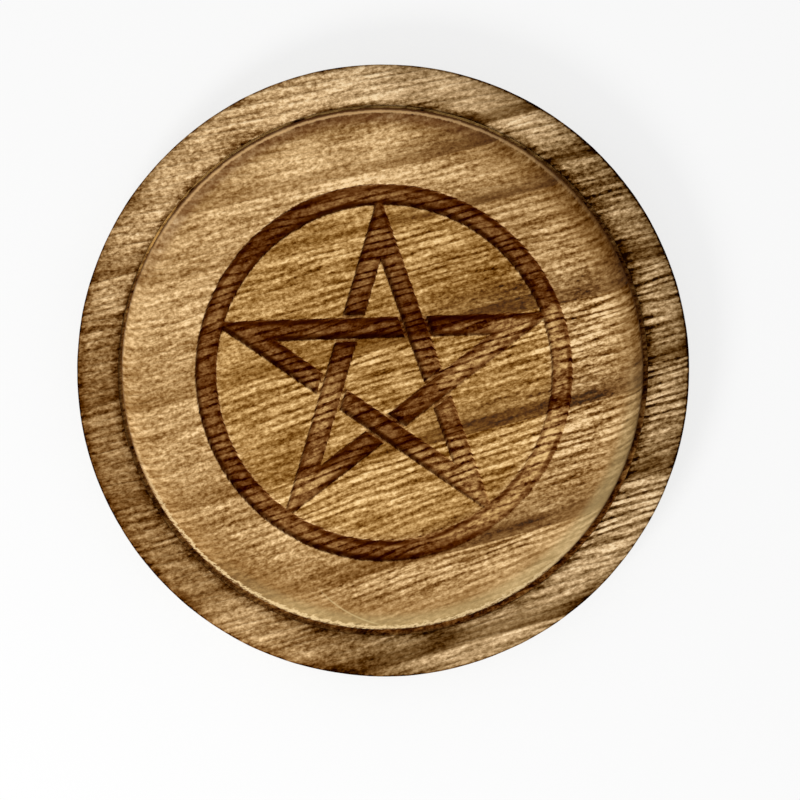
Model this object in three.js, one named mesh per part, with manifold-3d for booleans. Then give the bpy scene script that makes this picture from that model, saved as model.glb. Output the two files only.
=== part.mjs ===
// Altar candle holder: a flat round wooden plate in three glued pieces.
// A pale base board carries a scorched rim and, inside the rim with an open joint between them, a raised
// disc. The disc is engraved with an interlaced five-pointed star in a ring.
// Millimetres, +Z up. The origin is the middle of the underside, and one tip of the star points along +Y.
import * as THREE from "three";
import { mergeVertices } from "three/addons/utils/BufferGeometryUtils.js";
import Module from "manifold-3d";

// Base board
const boardThickness = 6;
const boardSetback = 0.4; // the board's side stands this far inside the rim's widest edge
const boardRoundRun = 1.2; // rounded lower edge, measured inwards
const boardRoundRise = 2; // rounded lower edge, measured upwards

// Centre disc
const discRadius = 42.5;
const discFloor = 1.4; // wood left under the engraving
const shoulderRun = 4.2; // rounded upper edge, measured inwards
const shoulderDrop = 1.2; // rounded upper edge, measured downwards

// Engraving
const engravingDepth = 0.6;
const strokeWidth = 3.4; // of the ring and of the star's bars
const plainMargin = 11.8; // bare wood from the disc's edge to the ring
const tipOverlap = 2; // the star's tips run this far into the ring
const weaveGap = 0.45; // wood left on each side of a bar where another passes under it

// Rim
const jointGap = 0.7; // open joint between the disc and the rim
const rimWidth = 6.8;
const rimInnerWall = 0.6; // height of the wall that faces the disc
const rimBevelRun = 1.2; // slope from that wall to the land
const rimBevelRise = 0.4;
const rimLandRise = 0.2; // the land climbs this much towards the crest
const rimRollRun = 2.8; // from the crest out to the widest edge
const rimRollRise = 0.6; // from the widest edge up to the crest
const rimTuck = 0.3; // the edge leans in below its widest point by this much

// Fineness of the round surfaces
const roundSteps = 96;
const edgeSteps = 7;

// Sizes that follow
const discThickness = discFloor + engravingDepth;
const rimInnerRadius = discRadius + jointGap;
const rimRadius = rimInnerRadius + rimWidth;
const boardRadius = rimRadius - boardSetback;
const ringOuterRadius = discRadius - plainMargin;
const ringInnerRadius = ringOuterRadius - strokeWidth;

const starPoints = 5;
const barTurn = (2 * Math.PI) / starPoints; // from one bar's direction to the next one's
const barOuterEdge = (ringInnerRadius + tipOverlap) * Math.cos(barTurn); // from the star's middle
const cutterRise = engravingDepth; // the cutter stands this far out of the wood

const wasm = await Module();
wasm.setup();

/** Points along a rounded edge, a quarter of an ellipse about (r, z) that starts at the angle given. */
function roundedEdge(r, z, run, rise, start) {
  return new THREE.EllipseCurve(r, z, run, rise, start, start + Math.PI / 2).getPoints(edgeSteps);
}

/** A piece turned about Z. Its outline is a list of (r, z) points, counter-clockwise. */
function turned(outline) {
  const latheUp = new THREE.Matrix4().makeBasis(
    new THREE.Vector3(1, 0, 0),
    new THREE.Vector3(0, 0, 1),
    new THREE.Vector3(0, -1, 0),
  );
  return solid(new THREE.LatheGeometry(outline, roundSteps).applyMatrix4(latheUp));
}

/** An upright prism between two heights, whose corners go counter-clockwise. */
function prism(corners, bottom, top) {
  const geometry = new THREE.ExtrudeGeometry(new THREE.Shape(corners), {
    depth: top - bottom,
    bevelEnabled: false,
  });
  return solid(geometry.translate(0, 0, bottom));
}

/** A closed geometry as a solid that can be joined and cut. */
function solid(geometry) {
  geometry.deleteAttribute("normal");
  geometry.deleteAttribute("uv");
  const welded = mergeVertices(geometry);
  const corners = [];
  for (let i = 0; i < welded.index.count; i += 3) {
    const [a, b, c] = [0, 1, 2].map((n) => welded.index.getX(i + n));
    if (a !== b && b !== c && c !== a) corners.push(a, b, c);
  }
  return new wasm.Manifold(
    new wasm.Mesh({
      numProp: 3,
      vertProperties: welded.attributes.position.array,
      triVerts: new Uint32Array(corners),
    }),
  );
}

/** A named mesh made from a solid, lifted to its height above the table. */
function piece(name, body, height, material) {
  const { vertProperties, triVerts } = body.getMesh();
  const geometry = new THREE.BufferGeometry();
  geometry.setAttribute("position", new THREE.BufferAttribute(vertProperties, 3));
  geometry.setIndex(new THREE.BufferAttribute(triVerts, 1));
  geometry.computeVertexNormals();
  const mesh = new THREE.Mesh(geometry, material);
  mesh.name = name;
  mesh.position.z = height;
  return mesh;
}

/** The base board: flat above and below, with a rounded lower edge. */
function baseBoard() {
  const rise = Math.min(boardRoundRise, boardThickness);
  return turned([
    new THREE.Vector2(0, 0),
    ...roundedEdge(boardRadius - boardRoundRun, rise, boardRoundRun, rise, -Math.PI / 2),
    new THREE.Vector2(boardRadius, boardThickness),
    new THREE.Vector2(0, boardThickness),
  ]);
}

/** The rim: a wall that faces the disc, a bevel, a land that climbs to the crest and a rolled edge. */
function rim() {
  const landRadius = rimInnerRadius + rimBevelRun;
  const landHeight = rimInnerWall + rimBevelRise;
  const crestHeight = landHeight + rimLandRise;
  const rollRun = Math.min(rimRollRun, rimWidth - rimBevelRun);
  const rollRise = Math.min(rimRollRise, crestHeight);
  const start = new THREE.Vector2(rimInnerRadius, 0);
  return turned([
    start,
    new THREE.Vector2(rimRadius - rimTuck, 0),
    ...roundedEdge(rimRadius - rollRun, crestHeight - rollRise, rollRun, rollRise, 0),
    new THREE.Vector2(landRadius, landHeight),
    new THREE.Vector2(rimInnerRadius, rimInnerWall),
    start,
  ]);
}

/** Where two lines cross. Each is given by its normal's direction and its distance from the middle. */
function crossing(angleA, distanceA, angleB, distanceB) {
  const sine = Math.sin(angleB - angleA);
  return new THREE.Vector2(
    (distanceA * Math.sin(angleB) - distanceB * Math.sin(angleA)) / sine,
    (distanceB * Math.cos(angleA) - distanceA * Math.cos(angleB)) / sine,
  );
}

/** Corners of one bar of the star, widened on both sides. The bars it meets at its tips cut its ends. */
function barCorners(index, widening) {
  const angle = Math.PI / 2 + index * barTurn;
  const outerEdge = barOuterEdge + widening;
  const innerEdge = barOuterEdge - strokeWidth - widening;
  const leftTip = angle + 2 * barTurn;
  const rightTip = angle - 2 * barTurn;
  return [
    crossing(angle, innerEdge, leftTip, barOuterEdge),
    crossing(angle, innerEdge, rightTip, barOuterEdge),
    crossing(angle, outerEdge, rightTip, barOuterEdge),
    crossing(angle, outerEdge, leftTip, barOuterEdge),
  ];
}

/** What the engraving takes away: the ring, and five bars that each pass over the next one. */
function engraving() {
  const bottom = discFloor;
  const top = discThickness + cutterRise;
  const ringStart = new THREE.Vector2(ringInnerRadius, bottom);
  let cutter = turned([
    ringStart,
    new THREE.Vector2(ringOuterRadius, bottom),
    new THREE.Vector2(ringOuterRadius, top),
    new THREE.Vector2(ringInnerRadius, top),
    ringStart,
  ]);
  for (let index = 0; index < starPoints; index += 1) {
    const barAbove = prism(barCorners(index - 1, weaveGap), bottom, top);
    cutter = cutter.add(prism(barCorners(index, 0), bottom, top).subtract(barAbove));
  }
  return cutter;
}

/** The centre disc: a short wall, a rounded shoulder and a flat top with the engraving in it. */
function centreDisc() {
  const drop = Math.min(shoulderDrop, discThickness);
  const blank = turned([
    new THREE.Vector2(0, 0),
    new THREE.Vector2(discRadius, 0),
    ...roundedEdge(discRadius - shoulderRun, discThickness - drop, shoulderRun, drop, 0),
    new THREE.Vector2(0, discThickness),
  ]);
  return blank.subtract(engraving());
}

const paleWood = new THREE.MeshStandardMaterial({ color: 0xb3ab94, roughness: 0.75, metalness: 0 });
const scorchedWood = new THREE.MeshStandardMaterial({ color: 0x75523b, roughness: 0.7, metalness: 0 });
const goldenWood = new THREE.MeshStandardMaterial({ color: 0x9d784f, roughness: 0.6, metalness: 0 });

const holder = new THREE.Group();
holder.add(piece("base_disc", baseBoard(), 0, paleWood));
holder.add(piece("rim_ring", rim(), boardThickness, scorchedWood));
holder.add(piece("centre_disc", centreDisc(), boardThickness, goldenWood));

export default holder;
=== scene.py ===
"""Altar candle holder, dressed for rendering.

A flat round wooden plate in three glued pieces: a pale base board, a scorched rim and, inside the rim, a
raised disc with a burnt engraving of a five-pointed star in a ring. All three are cut from one board, so one
growth pattern runs through them. Metres, +Z up, with one tip of the star along +Y.
"""

import logging
import math
from collections.abc import Callable
from dataclasses import dataclass
from enum import Enum

import bmesh
import bpy
import numpy as np
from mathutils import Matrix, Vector
from mathutils.geometry import delaunay_2d_cdt


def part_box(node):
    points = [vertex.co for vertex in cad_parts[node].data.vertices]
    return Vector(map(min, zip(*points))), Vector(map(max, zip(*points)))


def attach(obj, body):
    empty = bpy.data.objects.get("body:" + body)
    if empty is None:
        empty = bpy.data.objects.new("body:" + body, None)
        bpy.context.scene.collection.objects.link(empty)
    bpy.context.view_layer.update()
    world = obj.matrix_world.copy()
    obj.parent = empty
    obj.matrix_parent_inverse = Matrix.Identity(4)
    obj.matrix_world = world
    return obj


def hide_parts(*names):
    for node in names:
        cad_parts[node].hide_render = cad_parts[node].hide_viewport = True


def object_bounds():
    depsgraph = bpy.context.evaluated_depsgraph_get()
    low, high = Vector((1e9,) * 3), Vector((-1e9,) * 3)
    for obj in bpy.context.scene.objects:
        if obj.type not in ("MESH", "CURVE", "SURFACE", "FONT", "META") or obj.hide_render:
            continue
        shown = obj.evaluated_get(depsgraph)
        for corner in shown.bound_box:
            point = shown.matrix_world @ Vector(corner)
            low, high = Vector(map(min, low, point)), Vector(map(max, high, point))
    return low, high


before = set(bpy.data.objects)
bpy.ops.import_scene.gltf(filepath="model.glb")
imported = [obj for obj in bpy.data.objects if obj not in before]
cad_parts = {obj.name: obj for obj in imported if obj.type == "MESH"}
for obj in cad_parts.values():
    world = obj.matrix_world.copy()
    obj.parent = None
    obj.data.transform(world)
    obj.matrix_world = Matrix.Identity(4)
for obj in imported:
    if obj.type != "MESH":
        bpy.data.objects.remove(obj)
cad_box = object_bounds()

log = logging.getLogger("candle_holder")

MM = 0.001
BODY = "root"
ENGRAVED = "engraved"  # attribute: millimetres from the engraving's edge, negative inside it
BURN = "burn"  # attribute: how hard the tool burnt the engraving, about 1 where it wasn't spared
SINGE = "singe"  # attribute: how strongly the tool singed the engraving's edges, over 1 where hardest
WEAVE = "weave"  # attribute: 1 on the wood left where a bar passes under another, else 0
FLAME_AND_LIGHT = "flame_mark"  # attribute: how much lighter the wood is, from the flame's marks and from painted light and shade

Point = tuple[float, float]
Span = tuple[float, float]  # where a smooth step is 0 and where it is 1
Colour = tuple[float, float, float, float]
Stops = tuple[tuple[float, Colour], ...]
Shade = tuple[float, tuple[int, int, int]]
Links = list[tuple[int, int]]
Socket = bpy.types.NodeSocket

BLACK: Colour = (0.0, 0.0, 0.0, 1.0)
WHITE: Colour = (1.0, 1.0, 1.0, 1.0)


def tone(red: int, green: int, blue: int) -> Colour:
    """Turns a colour as it looks on screen, 0 to 255, into the linear values that shaders take.

    Args:
        red: Red on screen.
        green: Green on screen.
        blue: Blue on screen.

    Returns:
        Linear red, green, blue and an alpha of 1.
    """
    shown = (red / 255, green / 255, blue / 255)
    linear = [c / 12.92 if c <= 0.04045 else ((c + 0.055) / 1.055) ** 2.4 for c in shown]
    return linear[0], linear[1], linear[2], 1.0


def shades(*keys: Shade, between: int = 4) -> Stops:
    """Shades of one wood, evenly graded on screen.

    Args:
        keys: Lightness, from 0 to 1, and screen colour of the main shades, darkest first.
        between: Steps from one main shade to the next.

    Returns:
        The stops of a colour ramp.
    """
    stops = []
    for (low, dark), (high, light) in zip(keys, keys[1:]):
        for i in range(between):
            share = i / between
            colour = [round(a + (b - a) * share) for a, b in zip(dark, light)]
            stops.append((low + (high - low) * share, tone(*colour)))
    return (*stops, (keys[-1][0], tone(*keys[-1][1])))


def towards(x: "Value | np.ndarray", y: "Value | np.ndarray", degrees: float) -> "Value | np.ndarray":
    """How far a place lies from the middle towards an angle from +X."""
    return x * math.cos(math.radians(degrees)) + y * math.sin(math.radians(degrees))


class Wood(Enum):
    """The record's material slots, one for each piece's wood."""

    PALE = "pale_wood"
    SCORCHED = "scorched_wood"
    GOLDEN = "golden_wood"


def operator(operation: str, reflected: bool = False) -> Callable[["Value", "Value | float"], "Value"]:
    """An operator of Value.

    Args:
        operation: What its Math node does.
        reflected: Whether the Value is the second of the two numbers.

    Returns:
        The method, which adds the node.
    """

    def apply(self: "Value", other: "Value | float") -> "Value":
        """Adds the Math node and returns its result."""
        pair = (other, self) if reflected else (self, other)
        return self.net.math(operation, *pair)

    return apply


class Value:
    """A number on a node's socket. Arithmetic on it adds Math nodes."""

    __add__, __radd__ = operator("ADD"), operator("ADD", True)
    __sub__, __rsub__ = operator("SUBTRACT"), operator("SUBTRACT", True)
    __mul__, __rmul__ = operator("MULTIPLY"), operator("MULTIPLY", True)
    __truediv__, __rtruediv__ = operator("DIVIDE"), operator("DIVIDE", True)

    def __init__(self, net: "Network", socket: Socket) -> None:
        """Keeps the socket and the network that it belongs to."""
        self.net = net
        self.socket = socket

    def __abs__(self) -> "Value":
        """The number without its sign."""
        return self.net.math("ABSOLUTE", self, 0.0)


class Network:
    """A node tree, with one method that adds any node and short forms of the few that the finishes share."""

    noise_spread = 3.4  # brings noise from between 0 and 1 to roughly between -1 and 1

    def __init__(self, tree: bpy.types.NodeTree) -> None:
        """Takes over a tree and empties it."""
        self.tree = tree
        tree.nodes.clear()

    def node(self, kind: str, settings: dict | None = None, sockets: dict | None = None) -> bpy.types.Node:
        """Adds a node.

        Args:
            kind: The node's type.
            settings: Its own properties, set first. "stops" holds a colour ramp's stops.
            sockets: For each input, by name or index, a value, a socket to link or a Value.

        Returns:
            The node.
        """
        made = self.tree.nodes.new(kind)
        for name, setting in (settings or {}).items():
            if name == "stops":
                self._set_stops(made.color_ramp, setting)
            else:
                setattr(made, name, setting)
        for key, feed in (sockets or {}).items():
            source = feed.socket if isinstance(feed, Value) else feed
            if isinstance(source, Socket):
                self.tree.links.new(source, made.inputs[key])
            else:
                made.inputs[key].default_value = source
        return made

    @staticmethod
    def _set_stops(ramp: bpy.types.ColorRamp, stops: Stops) -> None:
        """Gives a colour ramp its stops.

        Args:
            ramp: The ramp, as a new node has it, with two stops.
            stops: Position and colour of each stop, in order.
        """
        for _ in range(len(stops) - len(ramp.elements)):
            ramp.elements.new(1.0)
        for element, (position, colour) in zip(ramp.elements, stops):
            element.position = position
            element.color = colour

    def math(self, operation: str, first: Value | float, second: Value | float) -> Value:
        """Adds a Math node and returns its result."""
        made = self.node("ShaderNodeMath", {"operation": operation}, {0: first, 1: second})
        return Value(self, made.outputs[0])

    def vector(self, x: Value | float, y: Value | float, z: Value | float) -> Socket:
        """Joins three numbers into a vector."""
        return self.node("ShaderNodeCombineXYZ", {}, {0: x, 1: y, 2: z}).outputs[0]

    def vector_math(self, operation: str, sockets: dict) -> Socket:
        """Adds a Vector Math node and returns its result, a vector."""
        return self.node("ShaderNodeVectorMath", {"operation": operation}, sockets).outputs[0]

    def length(self, x: Value, y: Value) -> Value:
        """Length of a level vector."""
        made = self.node("ShaderNodeVectorMath", {"operation": "LENGTH"}, {0: self.vector(x, y, 0.0)})
        return Value(self, made.outputs["Value"])

    def attribute(self, name: str) -> Value:
        """A number that the mesh carries."""
        return Value(self, self.node("ShaderNodeAttribute", {"attribute_name": name}).outputs["Fac"])

    def noise(self, where: Socket, detail: float = 2.0, roughness: float = 0.5) -> Value:
        """Noise about zero, roughly from -1 to 1, with features about one unit across.

        Args:
            where: The point, in units of the features' size.
            detail: Octaves of finer noise.
            roughness: How strong the finer octaves are.

        Returns:
            The noise.
        """
        made = self.node(
            "ShaderNodeTexNoise",
            {"noise_dimensions": "3D", "normalize": True},
            {"Vector": where, "Scale": 1.0, "Detail": detail, "Roughness": roughness},
        )
        return (Value(self, made.outputs[0]) - 0.5) * self.noise_spread

    def step(self, value: Value, low: float, high: float) -> Value:
        """A smooth step from 0 at low to 1 at high. Low may be the greater of the two."""
        made = self.node(
            "ShaderNodeMapRange",
            {"interpolation_type": "SMOOTHSTEP"},
            {"Value": value, "From Min": low, "From Max": high, "To Min": 0.0, "To Max": 1.0},
        )
        return Value(self, made.outputs[0])

    def ramp(self, value: Value, stops: Stops) -> Socket:
        """The colour that a ramp gives a number."""
        return self.node("ShaderNodeValToRGB", {"stops": stops}, {0: value}).outputs[0]

    def mix(self, amount: Value | float, first: "Socket | Colour", second: "Socket | Colour") -> Socket:
        """Mixes two colours.

        Args:
            amount: Share of the second colour, from 0 to 1.
            first: A colour.
            second: Another colour.

        Returns:
            The mixed colour.
        """
        settings = {"data_type": "RGBA", "clamp_factor": True}
        return self.node("ShaderNodeMix", settings, {0: amount, 6: first, 7: second}).outputs[2]


@dataclass(frozen=True)
class Growth:
    """How the board grew. Millimetres and degrees, for the height of the disc's top.

    Going down across the grain, a growth layer starts pale with open pore lines and ends dark and dense, with
    a crisp edge to the next one. A mark's size is its length along the fibres and its width across them.
    """

    layer_turn: float = 13.0  # from +X to the growth layers' edges
    layer_edges: tuple[float, ...] = (62.0, 46.0, 31.8, 22.4, 3.1, -13.8, -31.7, -50.6, -66.0)
    layer_crispness: float = 0.15  # half the width of an edge
    layer_fan: float = 0.0008  # how fast, for each millimetre, the layers fan out
    layer_bend: float = 0.45
    layer_bend_size: float = 40.0
    fibre_turn: float = 15.5  # from +X to the fibres, which cross the layers' edges at a slant
    fibre_fan: float = 0.0018  # how fast, for each millimetre, the fibres fan out
    fibre_bow: float = 0.0  # how fast, for each millimetre, they curve along X
    streak: Point = (6.0, 1.0)  # size of the fine streaks
    streak_depth: float = 6.0
    drift: Point = (26.0, 3.2)  # size of the broad, soft streaks
    drift_depth: float = 9.0
    speck: Point = (0.9, 0.55)  # size of the specks
    pore_pitch: float = 1.25  # from one pore line to the next
    pore_wander: float = 0.65  # how far, in pitches, the lines stray
    wander: Point = (16.0, 3.5)  # size of their bends
    gap: Point = (5.0, 1.3)  # size of their gaps
    levels: tuple[float, ...] = (0.3, 2.6, 7.1)  # in the noise, of the layers' bends, wander and gaps


@dataclass(frozen=True)
class Figure:
    """What a finish reads from the wood at a point. Lengths are in millimetres."""

    x: Value
    y: Value
    z: Value
    radius: Value
    age: Value  # from 0 where a growth layer starts to 1 where it ends
    streak: Value  # the fibres' streaks, about zero
    drift: Value  # their broad, soft streaks, about zero
    pore: Value  # from about -1 in a pore line to 1 between two
    speck: Value  # fine specks, about zero
    flame: Value  # how much lighter the wood is here, from the flame's marks and from painted light and shade

    def towards(self, degrees: float) -> Value:
        """How far the point lies towards an angle from +X."""
        return towards(self.x, self.y, degrees)

    def blots(self, size: float, level: float, detail: float = 2.0) -> Value:
        """Blots about zero, as the flame leaves them, of a size and at a level of the noise."""
        net = self.x.net
        return net.noise(net.vector(self.x / size, self.y / size, level), detail)


@dataclass(frozen=True)
class WoodFinish:
    """A finish on the common wood: what is shared by the base board, the rim and the disc."""

    slot: Wood
    tones: Stops  # colour for each lightness
    growth: Growth = Growth()
    layer_shift: float = 0.0  # how far the growth layers lie across the grain from the disc's
    layer_slant: float = 0.0  # how much further for each millimetre along X
    layer_lean: float = 0.0  # millimetres across the grain for each millimetre down
    plain: float = 0.565  # lightness of the wood between its marks
    dense_ages: Span = (0.83, 0.9)  # of a growth layer's dark end
    dimming_ages: Span = (0.5, 0.86)  # of the slow change towards it
    open_ages: Span = (0.75, 0.25)  # of its open-pored start
    late_shade: float = 0.2  # how much darker a growth layer ends
    late_side: Span = (-20.0, 15.0)  # along X, to where the dark ends are strongest
    heart: Point = (14.0, -8.0)  # middle of the coarse grain
    heart_reach: Span = (44.0, 26.0)  # in from where the coarse grain starts
    heart_foot: Span = (-46.0, -28.0)  # along Y, up from where it starts
    raised_side: Span = (18.0, 36.0)  # along X, to where the whole grain is strongest
    streaks: float = 0.2  # how strong the streaks are
    pores: float = 1.0  # how strong the pore lines are
    specks: float = 0.34  # how strong the specks are
    roughness: float = 0.62
    gloss: float = 0.0
    relief: float = 0.12  # depth of the grain's relief, in millimetres
    relief_strength: float = 0.6

    def figure(self, net: Network) -> Figure:
        """Adds the nodes of the wood's growth layers and grain.

        Args:
            net: The material's network.

        Returns:
            The figure at the point that is shaded.
        """
        growth = self.growth
        place = net.node("ShaderNodeTexCoord").outputs["Object"]
        scaled = net.vector_math("SCALE", {0: place, "Scale": 1 / MM})
        split = net.node("ShaderNodeSeparateXYZ", {}, {0: scaled})
        x, y, z = (Value(net, split.outputs[i]) for i in range(3))
        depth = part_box("centre_disc")[1].z / MM - z
        shift = depth * self.layer_lean + x * self.layer_slant + self.layer_shift
        along = towards(x, y, growth.fibre_turn)
        fibre = towards(x, y, growth.fibre_turn + 90) - shift
        fibre = fibre + x * (y * growth.fibre_fan - x * growth.fibre_bow)
        layer = towards(x, y, growth.layer_turn + 90) + x * y * growth.layer_fan - shift

        def grain(size: Point, level: Value | float, detail: float = 1.0, roughness: float = 0.5) -> Value:
            """Noise stretched along the fibres."""
            return net.noise(net.vector(along / size[0], fibre / size[1], level), detail, roughness)

        bend_level, wander_level, gap_level = growth.levels
        size = growth.layer_bend_size
        bend = net.noise(net.vector(along / size, layer / size, bend_level), 1.0) * growth.layer_bend
        streak = grain(growth.streak, z / growth.streak_depth, detail=3.0, roughness=0.6)
        wander = grain(growth.wander, wander_level) * growth.pore_wander
        gaps = grain(growth.gap, gap_level)
        wave = net.math("SINE", (fibre / growth.pore_pitch + wander) * (2 * math.pi), 0.0)
        ridge = net.step(wave + gaps * 0.5 + streak * 0.3, -1.0, 0.5) * 2.0 - 1.0
        return Figure(
            x=x,
            y=y,
            z=z,
            radius=net.length(x, y),
            age=self._age(net, layer + bend + streak * 0.2),
            streak=streak,
            drift=grain(growth.drift, z / growth.drift_depth),
            pore=ridge * net.step(gaps, -1.0, 0.3),
            speck=grain(growth.speck, z, detail=2.0, roughness=0.75),
            flame=net.attribute(FLAME_AND_LIGHT),
        )

    def _age(self, net: Network, layer: Value) -> Value:
        """Age of the wood within its growth layer.

        Args:
            net: The material's network.
            layer: Place across the layers, in millimetres.

        Returns:
            0 where a layer starts, rising to 1 at its crisp dark end.
        """
        edges = self.growth.layer_edges
        span = edges[0] - edges[-1]
        crisp = self.growth.layer_crispness / span
        stops = []
        for edge in edges:
            place = (edges[0] - edge) / span
            stops += [(max(place - crisp, 0.0), WHITE), (min(place + crisp, 1.0), BLACK)]
        ramp = net.ramp((edges[0] - layer) / span, tuple(stops[1:-1]))
        return Value(net, net.node("ShaderNodeSeparateColor", {}, {0: ramp}).outputs[0])

    def lightness(self, net: Network, wood: Figure) -> Value:
        """Lightness of the bare wood on screen before scorching.

        Args:
            net: The material's network.
            wood: The figure of the wood.

        Returns:
            The lightness, from 0 to 1.
        """
        late = net.step(wood.age, *self.dense_ages) * 0.75 + net.step(wood.age, *self.dimming_ages) * 0.25
        late = late * (net.step(wood.x, *self.late_side) * 0.6 + wood.drift * 0.25 + 0.55)
        early = net.step(wood.age, *self.open_ages)
        coarse = net.step(net.length(wood.x - self.heart[0], wood.y - self.heart[1]), *self.heart_reach)
        coarse = coarse * net.step(wood.y, *self.heart_foot)
        grain = (
            wood.streak * (coarse * 0.04 + self.streaks)
            + wood.pore * (early * (coarse * 0.06 + 0.05) + coarse * 0.03 + 0.03) * self.pores
            + wood.speck * (self.specks - coarse * 0.02)
        )
        grain = grain * (net.step(wood.x, *self.raised_side) * 0.25 - late * 0.3 + 1.0)
        return wood.flame + wood.drift * 0.06 + grain - late * self.late_shade + self.plain

    def colour(self, net: Network, wood: Figure, lightness: Value) -> Socket:
        """Colour of the finished wood."""
        return net.ramp(lightness, self.tones)

    def make(self, name: str) -> bpy.types.Material:
        """Makes the material.

        Args:
            name: The material's name.

        Returns:
            The material.
        """
        material = bpy.data.materials.new(name)
        material.use_nodes = True
        net = Network(material.node_tree)
        wood = self.figure(net)
        height = wood.streak * 0.4 + wood.pore * 0.35 + wood.speck * 0.25
        relief = {"Height": height, "Strength": self.relief_strength, "Distance": self.relief * MM}
        shader = net.node(
            "ShaderNodeBsdfPrincipled",
            {},
            {
                "Base Color": self.colour(net, wood, self.lightness(net, wood)),
                "Roughness": self.roughness - wood.speck * 0.08,
                "Normal": net.node("ShaderNodeBump", {}, relief).outputs[0],
                "Specular IOR Level": self.gloss,
            },
        )
        net.node("ShaderNodeOutputMaterial", {}, {"Surface": shader.outputs[0]})
        return material


@dataclass(frozen=True)
class GoldenWood(WoodFinish):
    """Lightly scorched golden wood with a burnt engraving, sanded on the shoulder, with painted shade on it
    above and on the right, and rubbed on its edge to a pale line that is partly a painted highlight.

    Bands round the shoulder are measured inwards from the disc's edge.
    """

    burnt_tones: Stops = shades(
        (0.0, (34, 0, 0)), (0.16, (77, 32, 0)), (0.62, (195, 153, 95)), (0.8, (236, 196, 133))
    )  # in the engraving
    amber_tones: Stops = shades(
        (0.0, (30, 4, 0)),
        (0.19, (86, 44, 0)),
        (0.33, (120, 77, 24)),
        (0.80, (238, 196, 133)),
        (0.90, (255, 219, 160)),
    )  # inside the ring
    grey_tone: Colour = tone(120, 98, 72)  # over the growth layers' dark ends
    umber_shade_tone: Colour = tone(110, 66, 40)  # painted shade on the shoulder above
    green_tone: Colour = tone(178, 162, 114)  # on the shoulder to the lower right
    rubbed_lit_tone: Colour = tone(226, 198, 148)  # of the edge's pale line below: rubbed bare wood with a painted highlight
    bright_lit_tone: Colour = tone(236, 192, 134)  # of the edge's pale line above: bare wood with a painted highlight
    charred_shade_tone: Colour = tone(84, 48, 24)  # where the edge dips into the joint: char with painted shade
    scratch_tone: Colour = tone(214, 186, 132)
    scratch_middle: Point = (2.8, -23.1)  # of the scratch's arc
    scratch_radius: float = 18.8
    ring: float = 29.0  # radius of the engraved ring
    ring_fade: float = 3.0
    edge: float = 42.5  # radius of the disc
    middle: Point = (-0.1, 0.3)  # of the disc, as it was glued on
    sanded_band: Span = (6.5, 2.0)
    shaded_band: Span = (5.0, 1.0)  # where shade is painted on the shoulder, above
    sloped_band: Span = (3.2, 1.4)  # above and to the lower right
    right_shade_band: Span = (2.2, 0.3)  # where shade is painted on the shoulder, on the right
    # where the edge is charred and darkened with painted shade from the joint
    charred_shade_band: Span = (0.4, -0.1)
    line_start: Span = (0.8, 0.55)  # of the pale line
    line_end: Span = (0.1, 0.4)
    heat_size: float = 5.0  # of the tool's hotter and cooler spots
    heat_level: float = 3.3

    def away(self, net: Network, wood: Figure) -> tuple[Value, Value, Value]:
        """Place from the disc's own middle, as X, Y and radius."""
        x, y = wood.x - self.middle[0], wood.y - self.middle[1]
        return x, y, net.length(x, y)

    def band(self, net: Network, radius: Value, span: Span) -> Value:
        """A smooth step across a band that is measured inwards from the disc's edge."""
        return net.step(radius, self.edge - span[0], self.edge - span[1])

    def inside_ring(self, net: Network, wood: Figure) -> Value:
        """1 inside the engraved ring, fading out to 0 at the ring."""
        return net.step(wood.radius, self.ring, self.ring - self.ring_fade)

    def lightness(self, net: Network, wood: Figure) -> Value:
        """Lightness of the golden wood, quieter on the sanded shoulder, with painted shade on its upper side
        and right.

        Args:
            net: The material's network.
            wood: The figure of the wood.

        Returns:
            The lightness, from 0 to 1.
        """
        x, y, radius = self.away(net, wood)
        bare = super().lightness(net, wood)
        smooth = net.step(towards(x, y, -50), -20.0, 25.0) * 0.4 + 0.15
        sanded = self.band(net, radius, self.sanded_band) * smooth
        # painted shade on the shoulder above and at its edge on the right
        shaded = self.band(net, radius, self.shaded_band) * net.step(towards(x, y, 66.5), 6.0, 34.0)
        right_shade = self.band(net, radius, self.right_shade_band) * net.step(x, 35.0, 42.0)
        coarse = net.step(x, 8.0, 30.0) * net.step(abs(y), 24.0, 8.0) * 0.13
        coarse = coarse - net.step(x, 10.0, 20.0) * net.step(y, 14.0, 22.0) * 0.15
        grain = bare - wood.flame - 0.55
        # painted shade on the shoulder, and slightly darker inside the ring
        shade = shaded * 0.19 + right_shade * 0.14 + self.inside_ring(net, wood) * 0.035
        return bare + grain * (coarse - sanded) - shade

    def edge_wear_and_shade(self, net: Network, wood: Figure, bare: Socket) -> Socket:
        """Colour of the disc's edge: painted umber shade on the shoulder above and greyish olive on its lower
        right, rubbed to a pale line above and below that is partly a painted highlight, and charred with
        painted shade in the joint.

        Args:
            net: The material's network.
            wood: The figure of the wood.
            bare: Colour of the wood before.

        Returns:
            The colour.
        """
        x, y, radius = self.away(net, wood)
        below = net.step(y, -8.0, -26.0) * net.step(x, 34.0, 22.0)
        above = net.step(y, 12.0, 36.0) * net.step(x, 44.0, 4.0)
        rough = radius + wood.speck * (below * 0.33 + 0.15) + above * 0.13 - below * 0.08
        line = self.band(net, rough, self.line_start) * self.band(net, rough, self.line_end)
        charred = self.band(net, rough, self.charred_shade_band)
        sloped = self.band(net, radius, self.sloped_band)
        # painted umber shade on the shoulder above, then greyish olive on the shoulder to the lower right
        edge_tone = net.mix(sloped * net.step(towards(x, y, 110), 24.0, 36.0) * 0.45, bare, self.umber_shade_tone)
        edge_tone = net.mix(sloped * net.step(towards(x, y, -66.5), 12.0, 34.0) * 0.38, edge_tone, self.green_tone)
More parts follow.
